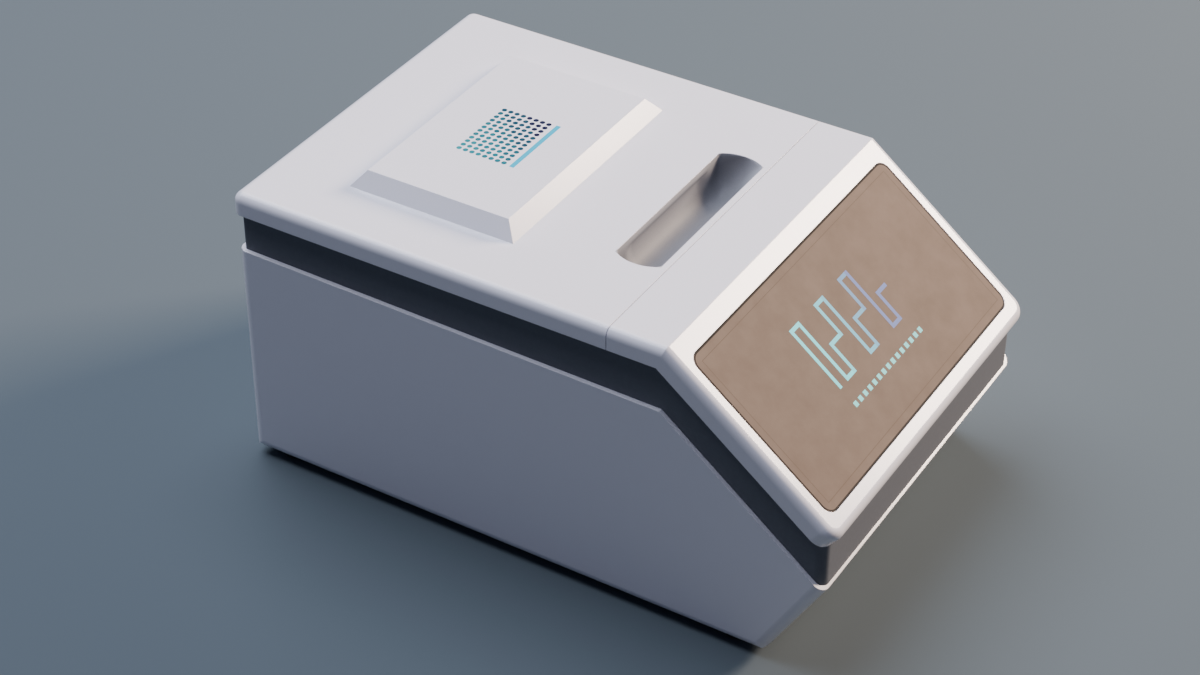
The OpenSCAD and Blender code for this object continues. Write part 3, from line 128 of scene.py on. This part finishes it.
# Most real grains are under 0.3 mm wide and too fine to show from where the camera stands, so grain_mm
# draws them coarser
FINISHES = {
    # Moulded ABS, satin white: soft glints along its rounded edges, warm on the slopes and cool on top
    "white_shell": finish_of("moulded_white_abs", "F1EFF5", 0.2, grain=0.05, grain_mm=1.2, edge_mm=0.5,
                             ior=1.54),
    # Spark-textured charcoal ABS: dull, with a fine grain that scatters each highlight
    "charcoal_plastic": finish_of("textured_charcoal_abs", "666A71", 0.8, grain=0.25, grain_mm=0.5, cloud=0.5,
                                  cloud_mm=3.0, cloud_colour="5E6269", edge_mm=0.4, ior=1.54),
    # Powder-coated steel: light grey, faintly pebbled
    "panel_steel": finish_of("powder_coated_steel", "B4B6B8", 0.5, grain=0.2, grain_mm=0.5, ior=1.52),
    # Zinc-plated steel: small bright points with a soft edge
    "screw_steel": finish_of("zinc_plated_steel", "B8BABC", 0.32, metallic=1.0, grain=0.05),
    # Ground steel: clean bright lines
    "bright_steel": finish_of("ground_steel", "CACCCE", 0.22, metallic=1.0),
    # Moulded rubber: near black and matt
    "foot_rubber": finish_of("moulded_rubber", "1C1C1D", 0.75, grain=0.2, grain_mm=0.4, ior=1.52),
    # Etched glass printed from behind: even taupe with soft mottling and hardly a reflection
    "screen_glass": finish_of("back_printed_glass", "7C6B5D", 0.6, grain=0.02, cloud=0.8, cloud_mm=16.0,
                              cloud_colour="705F51", specular=0.1, ior=1.52),
    # Filled nylon: black and even
    "frame_black": finish_of("moulded_nylon", "151516", 0.6, ior=1.53),
    # Cellular foam: black, with open pores that take all shine
    "gasket_foam": finish_of("cellular_foam", "0E0E0E", 0.9, grain=0.4, grain_mm=0.8),
    # Solder-masked laminate: glossy green over slightly darker copper areas
    "circuit_board": finish_of("solder_masked_laminate", "1E5A36", 0.35, cloud=0.6, cloud_mm=6.0,
                               cloud_colour="184C2D"),
    # Turned brass: warm and bright
    "brass_spacer": finish_of("turned_brass", "C9A45A", 0.3, metallic=1.0),
    # Die-cast zinc: dark grey metal with a dry skin
    "hinge_metal": finish_of("die_cast_zinc", "5A5B5D", 0.45, metallic=0.8, grain=0.15),
    # Cast silicone: pale and waxy
    "clear_silicone": finish_of("cast_silicone", "C9C9C4", 0.4, ior=1.41),
    # Milled aluminium: bright faces with dark wells
    "block_aluminium": finish_of("milled_aluminium", "D6D8DA", 0.28, metallic=1.0, grain=0.04),
    # Glass-filled polymer: tan and dry
    "clamp_plastic": finish_of("glass_filled_polymer", "CFC7AA", 0.55, grain=0.1, ior=1.58),
    # Fired alumina: chalk white with a slight gloss
    "ceramic_white": finish_of("fired_alumina", "E6E5E0", 0.35, ior=1.76),
    # Extruded aluminium: soft grey sheen along the fins
    "sink_aluminium": finish_of("extruded_aluminium", "C2C5C8", 0.38, metallic=1.0, grain=0.05),
    # Formed polycarbonate sheet: plain grey
    "duct_plastic": finish_of("formed_polycarbonate", "A6A8AA", 0.55, ior=1.58),
    # Moulded polyester fan parts: black with a low sheen on the blades
    "fan_black": finish_of("moulded_polyester", "1B1B1C", 0.45, grain=0.06, ior=1.57),
    # Folded galvanised steel: pale metal, slightly clouded by its grain
    "supply_case": finish_of("galvanised_steel", "BDBFC0", 0.4, metallic=0.9, grain=0.05),
    # Vinyl-sleeved parts: dark with a mild gloss
    "component_dark": finish_of("vinyl_sleeve", "26282B", 0.4, ior=1.53),
    # Moulded polyamide socket: black with a fine grain
    "socket_black": finish_of("moulded_polyamide", "151516", 0.4, grain=0.08, ior=1.53),
    # Nickel-plated brass: pale gold blades
    "contact_brass": finish_of("nickel_plated_brass", "D2C08A", 0.28, metallic=1.0),
    # Tin-plated steel: bright folded shells
    "port_steel": finish_of("tin_plated_steel", "B9BBBE", 0.3, metallic=1.0),
    # Nickel-plated magnet: mirror-like
    "magnet_nickel": finish_of("nickel_plate", "C8C8C6", 0.2, metallic=1.0),
    # Heat-resistant polymer: black and dull
    "platen_black": finish_of("moulded_phenolic", "202022", 0.5, grain=0.1, ior=1.6),
    # Anodised aluminium: grey with an even satin shine
    "platen_aluminium": finish_of("anodised_aluminium", "A9ACAF", 0.35, metallic=0.9),
    # Silicone rubber heater: orange and matt
    "heater_silicone": finish_of("silicone_rubber", "B5502A", 0.6, ior=1.41),
    # Felted mineral fibre: cream, rough and without shine
    "insulation_wool": finish_of("felted_fibre", "D9D0B4", 0.95, grain=0.6, grain_mm=1.5),
}

slot_of = {row["node"]: row["material_slot"] for row in frame["record"]["subparts"]}
for node_name, node in frame["nodes"].items():
    for slot in node.material_slots:
        slot.material = FINISHES[slot_of[node_name]]


def flexing_springs():
    """The heated platen's springs, as a copy of the node's own coils that stands in place of the node."""
    node = frame["nodes"]["platen_springs"]
    springs = bpy.data.objects.new("flexing_springs", node.data.copy())
    springs.matrix_world = node.matrix_world
    bpy.context.scene.collection.objects.link(springs)
    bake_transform(springs)
    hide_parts("platen_springs")


flexing_springs()


# The screen face in mm, for what is printed on it: it bends down from the top at BEND_Y, and the glass's
# middle lies GLASS_MID down the slope from there
SLOPE = math.radians(38.4)
BEND_Y, TOP_Z = -93.75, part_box("front_bezel")[1].z / MM
GLASS_W, GLASS_H = 2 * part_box("touch_glass")[1].x / MM, 117.0
GLASS_MID, GLASS_CORNER = 72.0, 7.0

# The pad on the lid, whose top face carries the other mark
PAD_Y, PAD_TOP = 90.25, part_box("lid_cover")[1].z / MM

# How far a print lies off the face that it is on
GLASS_LIFT, PAD_LIFT = 0.03, 0.01


def on_screen(u, v):
    """Point of a print on the glass in metres, u to the right and v up the slope from its middle."""
    s = GLASS_MID - v
    y = BEND_Y - s * math.cos(SLOPE) - GLASS_LIFT * math.sin(SLOPE)
    z = TOP_Z - s * math.sin(SLOPE) + GLASS_LIFT * math.cos(SLOPE)
    return Vector((u, y, z)) * MM


def on_pad(u, v):
    """Point of a print on the pad's top face in metres; u runs to the right and v to the rear."""
    return Vector((u, PAD_Y + v, PAD_TOP + PAD_LIFT)) * MM


def object_from(bm, name, finishes):
    """A new object in the scene with that mesh and those finishes."""
    mesh = bpy.data.meshes.new(name)
    bm.to_mesh(mesh)
    bm.free()
    for finish in finishes:
        mesh.materials.append(finish)
    made = bpy.data.objects.new(name, mesh)
    bpy.context.scene.collection.objects.link(made)
    return made


def print_on(name, place, shapes, body, colours):
    """Flat printed shapes as one mesh; each shape is its outline and the index of its colour."""
    bm = bmesh.new()
    for outline, colour in shapes:
        face = bm.faces.new([bm.verts.new(place(u, v)) for u, v in outline])
        face.material_index = colour
    piece = object_from(bm, name, colours)
    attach(piece, body)


def disc(u, v, radius, sides=20):
    """Outline of a round dot."""
    return [(u + radius * math.cos(2 * math.pi * k / sides), v + radius * math.sin(2 * math.pi * k / sides))
            for k in range(sides)]


def bar(u0, v0, u1, v1):
    """Outline of a rectangle between two opposite corners."""
    return [(u0, v0), (u1, v0), (u1, v1), (u0, v1)]


def ink_of(name, colour):
    """Screen-printed ink: flat colour with hardly any shine."""
    return finish_of(name, colour, 0.6, specular=0.1)


def inks(name, first, last, count):
    """Printing inks that run from one colour to another."""
    a, b = srgb(first), srgb(last)
    made = []
    for k in range(count):
        t = k / (count - 1)
        ink = ink_of(f"{name}_{k + 1}", first)
        ink.node_tree.nodes["Principled BSDF"].inputs["Base Color"].default_value = [
            x + (y - x) * t for x, y in zip(a, b)]
        made.append(ink)
    return made


def pad_mark():
    """Plain generic mark on the pad: a plate map of dots, dark blue to teal, over a cyan bar."""
    columns, rows, pitch, dot, shades = 12, 8, 4.6, 1.75, 6
    middle_u, middle_v, bar_height = -4.0, 1.0, 3.2
    shapes = []
    for c in range(columns):
        for r in range(rows):
            u = middle_u + (c - (columns - 1) / 2) * pitch
            v = middle_v + (r - (rows - 1) / 2) * pitch
            shapes.append((disc(u, v, dot), (columns - 1 - c + r) * (shades - 1) // (columns + rows - 2)))
    half = (columns - 1) / 2 * pitch + dot
    low = middle_v - (rows + 1) / 2 * pitch - bar_height
    shapes.append((bar(middle_u - half, low, middle_u + half, low + bar_height), shades))
    colours = inks("plate_map_ink", "0E1638", "1B8791", shades)
    # Screen-printed ink with a little more shine than the dots: a clear cyan
    colours.append(finish_of("cyan_ink", "14ACCB", 0.5, specular=0.2))
    print_on("pad_mark", on_pad, shapes, "lid", colours)


def screen_mark():
    """Plain generic mark on the screen: a graph of temperature steps, cyan to lilac, over a row of ticks."""
    hot, cold, warm = 26.0, -16.0, 4.0
    steps = [(9, hot), (9, cold), (12, warm)]
    cycles, line, shades = 3, 2.6, 8
    ticks, tick_low, tick_size = 15, -30.0, 3.4
    total = cycles * sum(width for width, _ in steps)
    u, level = -total / 2, cold
    shapes = []
    for k in range(cycles):
        for width, height in steps:
            colour = min(shades - 1, int((u + total / 2) / total * shades))
            shapes.append((bar(u, min(level, height), u + line, max(level, height) + line), colour))
            shapes.append((bar(u + line, height, u + width, height + line), colour))
            u, level = u + width, height
    for k in range(ticks):
        left = -total / 2 + k * total / ticks
        shapes.append((bar(left, tick_low, left + tick_size, tick_low + tick_size), shades))
    colours = inks("graph_ink", "7DF3FA", "7A6CAE", shades) + [ink_of("pale_cyan_ink", "8AF0EE")]
    print_on("screen_mark", on_screen, shapes, "chassis", colours)


def screen_border():
    """Faint printed line just inside the glass's edge."""
    inset, line = 5.5, 0.35
    w, h = GLASS_W / 2 - inset, GLASS_H / 2 - inset
    sides = [(-w, h - line, w, h), (-w, -h, w, -h + line), (-w, -h + line, -w + line, h - line),
             (w - line, -h + line, w, h - line)]
    shapes = [(bar(*side), 0) for side in sides]
    print_on("screen_border", on_screen, shapes, "chassis",
             [ink_of("faint_border_ink", "645547")])


def rounded_outline(half_w, half_h, radius, steps=10):
    """Corner points of a rounded rectangle, round from the upper right."""
    points = []
    for quarter, (sx, sy) in enumerate(((1, 1), (-1, 1), (-1, -1), (1, -1))):
        for k in range(steps + 1):
            a = math.radians(90 * (quarter + k / steps))
            points.append((sx * (half_w - radius) + radius * math.cos(a),
                           sy * (half_h - radius) + radius * math.sin(a)))
    return points


def glass_edge():
    """Dark line round the glass, where its gasket shows."""
    line = 0.7
    outer = rounded_outline(GLASS_W / 2, GLASS_H / 2, GLASS_CORNER)
    inner = rounded_outline(GLASS_W / 2 - line, GLASS_H / 2 - line, GLASS_CORNER - line)
    ring = list(zip(outer, inner))
    shapes = [((a, b, d, c), 0) for (a, b), (c, d) in zip(ring, ring[1:] + ring[:1])]
    print_on("glass_edge", on_screen, shapes, "chassis", [ink_of("black_edge_ink", "2A2420")])


pad_mark()
screen_mark()
screen_border()
glass_edge()


# The finger scoop in mm. Its opening has straight sides, large arcs for ends and rounded corners between them
SCOOP_Y, SCOOP_HALF, SCOOP_END = -37.2, 15.25, 66.5
END_CENTRE, END_RADIUS = 40.74, 25.76
CORNER_X, CORNER_RADIUS, CORNER_JOIN = 58.79, 5.0, 63.14
# Its section: a ramp down from the front, a round hollow that reaches under the rear edge, and a lip
RAMP_TOP_Y, RAMP_TOP_Z, RAMP_STEP_Y, RAMP_STEP_Z, RAMP_STEPS = -52.3, 197.6, 1.018, -1.53, 11
BOWL_Y, BOWL_Z, BOWL_RADIUS = -30.55, 186.0, 11.7
BOWL_START, BOWL_LOWEST, BOWL_END, BOWL_STEP = 216, 270, 360, 6
LIP_START, LIP_ANGLE, LIP_STEP = 6, 41, 7
LIP_REACH, LIP_MIDDLE_Z = 8.55, 195.8
# Towards each end, the hollow stops reaching under the edge, and then its floor curves up to the rim
REACH_FADE_X, REACH_FADE_LENGTH, FLOOR_RISE_X = 38.0, 14.0, 47.0
# The skin laps over the lid's top at the rim and stays clear of the cavity's walls
SKIN_Z, RIM_LAP, WALL_GAP = TOP_Z + 0.02, 0.12, 0.3
# The cavity's sharp corner, which a small flat covers
SHARP_X, CORNER_LAP = 61.8, 0.2


def scoop_half_width(x):
    """Half of the opening's depth from front to rear at a place along it."""
    x = abs(x)
    if x <= CORNER_X:
        return SCOOP_HALF
    if x <= CORNER_JOIN:
        return SCOOP_HALF - CORNER_RADIUS + math.sqrt(CORNER_RADIUS ** 2 - (x - CORNER_X) ** 2)
    return math.sqrt(max(0.0, END_RADIUS ** 2 - (x - END_CENTRE) ** 2))


def scoop_path(x):
    """Full-depth section at x, as (y, z): down the ramp, round the hollow and up the rear lip."""
    fade = min(1.0, max(0.0, (abs(x) - REACH_FADE_X) / REACH_FADE_LENGTH))
    reach = LIP_REACH + (BOWL_RADIUS - LIP_REACH) * (1 - fade * fade * (3 - 2 * fade))
    path = [(SCOOP_Y - SCOOP_HALF, SKIN_Z)]
    for k in range(1, RAMP_STEPS + 1):
        path.append((RAMP_TOP_Y + k * RAMP_STEP_Y, RAMP_TOP_Z + k * RAMP_STEP_Z))
    for degrees in range(BOWL_START, BOWL_END + 1, BOWL_STEP):
        a = math.radians(degrees)
        side = BOWL_RADIUS if degrees < BOWL_LOWEST else reach
        path.append((BOWL_Y + side * math.cos(a), BOWL_Z + BOWL_RADIUS * math.sin(a)))
    lip = math.cos(math.radians(LIP_ANGLE))
    for degrees in range(LIP_START, LIP_ANGLE + 1, LIP_STEP):
        a = math.radians(degrees)
        bulge = (reach - LIP_REACH) * (math.cos(a) - lip) / (1 - lip)
        path.append((BOWL_Y + LIP_REACH + bulge, BOWL_Z + BOWL_RADIUS * math.sin(a)))
    path.append((BOWL_Y + LIP_REACH, LIP_MIDDLE_Z))
    path.append((SCOOP_Y + SCOOP_HALF, SKIN_Z))
    return path


def scoop_section(x):
    """The section at x as points in mm, narrowed to the opening there and raised towards the ends."""
    end = min(1.0, max(0.0, (abs(x) - FLOOR_RISE_X) / (SCOOP_END - FLOOR_RISE_X)))
    depth = math.sqrt(1 - end ** 2)
    rim = (scoop_half_width(x) + RIM_LAP) / SCOOP_HALF
    inner = max(0.0, scoop_half_width(x) - WALL_GAP) / SCOOP_HALF
    along = (SCOOP_END - WALL_GAP) / SCOOP_END
    path = scoop_path(x)
    section = []
    for k, (y, z) in enumerate(path):
        on_rim = k in (0, len(path) - 1)
        section.append((x if on_rim else x * along, SCOOP_Y + (y - SCOOP_Y) * (rim if on_rim else inner),
                        SKIN_Z - (SKIN_Z - z) * depth))
    return section


def scoop_skin():
    """The bowl, and four small flats that fill the cavity's sharp corners up to the lid's top."""
    bm = bmesh.new()
    steps, arc_steps = 90, 12
    columns = [SCOOP_END * math.sin(math.pi / 2 * k / steps) for k in range(-steps, steps + 1)]
    rows = [[bm.verts.new(Vector(point) * MM) for point in scoop_section(x)] for x in columns]
    for a, b in zip(rows, rows[1:]):
        for k in range(len(a) - 1):
            bm.faces.new((a[k], b[k], b[k + 1], a[k + 1])).smooth = True
    arc = [CORNER_X + (CORNER_JOIN - CORNER_X) * k / arc_steps for k in range(arc_steps + 1)]
    flat = [(x, scoop_half_width(x)) for x in arc]
    flat += [(SHARP_X, SCOOP_HALF + CORNER_LAP), (CORNER_X, SCOOP_HALF + CORNER_LAP)]
    for sx in (-1, 1):
        for sy in (-1, 1):
            corner = [Vector((sx * x, SCOOP_Y + sy * y, SKIN_Z)) * MM for x, y in flat]
            bm.faces.new([bm.verts.new(p) for p in corner])
    bmesh.ops.remove_doubles(bm, verts=bm.verts, dist=1e-6)
    bmesh.ops.recalc_face_normals(bm, faces=bm.faces)
    # The shell's ABS, rougher than the top; its grey base colour is painted shade for the recess, and more
    # painted shade darkens it to near black where the hollow is deep
    finish = finish_of("scoop_abs_painted_shade", "B2B2B6", 0.6, ior=1.54, recess_shade_colour="26282E")
    skin = object_from(bm, "scoop_skin", [finish])
    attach(skin, "lid")


scoop_skin()


def backdrop():
    """Floor and backdrop in one plain sheet, whose size is in metres."""
    bm = bmesh.new()
    size = 12.0
    corners = ((-size, -size, 0), (size, -size, 0), (size, size, 0), (-size, size, 0))
    bm.faces.new([bm.verts.new(corner) for corner in corners])
    # Matt paper sweep: grey-green and without shine
    object_from(bm, "floor", [finish_of("matt_paper_sweep", "5A6469", 0.9, specular=0.2)])


backdrop()


def area_light(name, place, target, size, power, colour):
    """A soft rectangular studio lamp. place, target and size are in metres, power in watts."""
    lamp = bpy.data.lights.new(name, "AREA")
    lamp.shape = "RECTANGLE"
    lamp.size, lamp.size_y = size
    lamp.energy = power
    lamp.color = srgb(colour)[:3]
    holder = bpy.data.objects.new(name, lamp)
    bpy.context.scene.collection.objects.link(holder)
    holder.location = place
    holder.rotation_euler = (Vector(target) - Vector(place)).to_track_quat("-Z", "Y").to_euler()


# Warm key at the front right, where the sloped faces mirror it to the camera, and a wide cool fill behind
area_light("key", (2.12, -1.36, 1.39), (0, -0.1, 0.15), (0.8, 0.8), 165, "FFE8D4")
area_light("rear_fill", (0.28, 1.0, 2.5), (0, 0, 0), (2.4, 2.4), 128, "E2E8FA")

world = bpy.data.worlds.new("soft_studio")
world.use_nodes = True
world.node_tree.nodes["Background"].inputs["Color"].default_value = srgb("9093B6")
world.node_tree.nodes["Background"].inputs["Strength"].default_value = 0.22
bpy.context.scene.world = world


def camera_at(place_mm, azimuth, elevation, roll, lens):
    """Camera at a place in mm, with azimuth, elevation and roll in degrees and the lens in mm."""
    a, e, r = map(math.radians, (azimuth, elevation, roll))
    back = Vector((math.sin(a) * math.cos(e), -math.cos(a) * math.cos(e), math.sin(e)))
    right = Vector((0, 0, 1)).cross(back).normalized()
    up = back.cross(right)
    across = math.cos(r) * right + math.sin(r) * up
    upward = -math.sin(r) * right + math.cos(r) * up
    data = bpy.data.cameras.new("camera")
    data.lens = lens
    data.sensor_width = 36
    holder = bpy.data.objects.new("camera", data)
    bpy.context.scene.collection.objects.link(holder)
    turn = Matrix((across, upward, back)).transposed().to_4x4()
    holder.matrix_world = Matrix.Translation(Vector(place_mm) * MM) @ turn
    bpy.context.scene.camera = holder


# The photograph's viewpoint: a camera fitted to its straight edges
camera_at((-1145.8, -660.15, 1069.2), -59.13, 36.57, 0.45, 79.48)
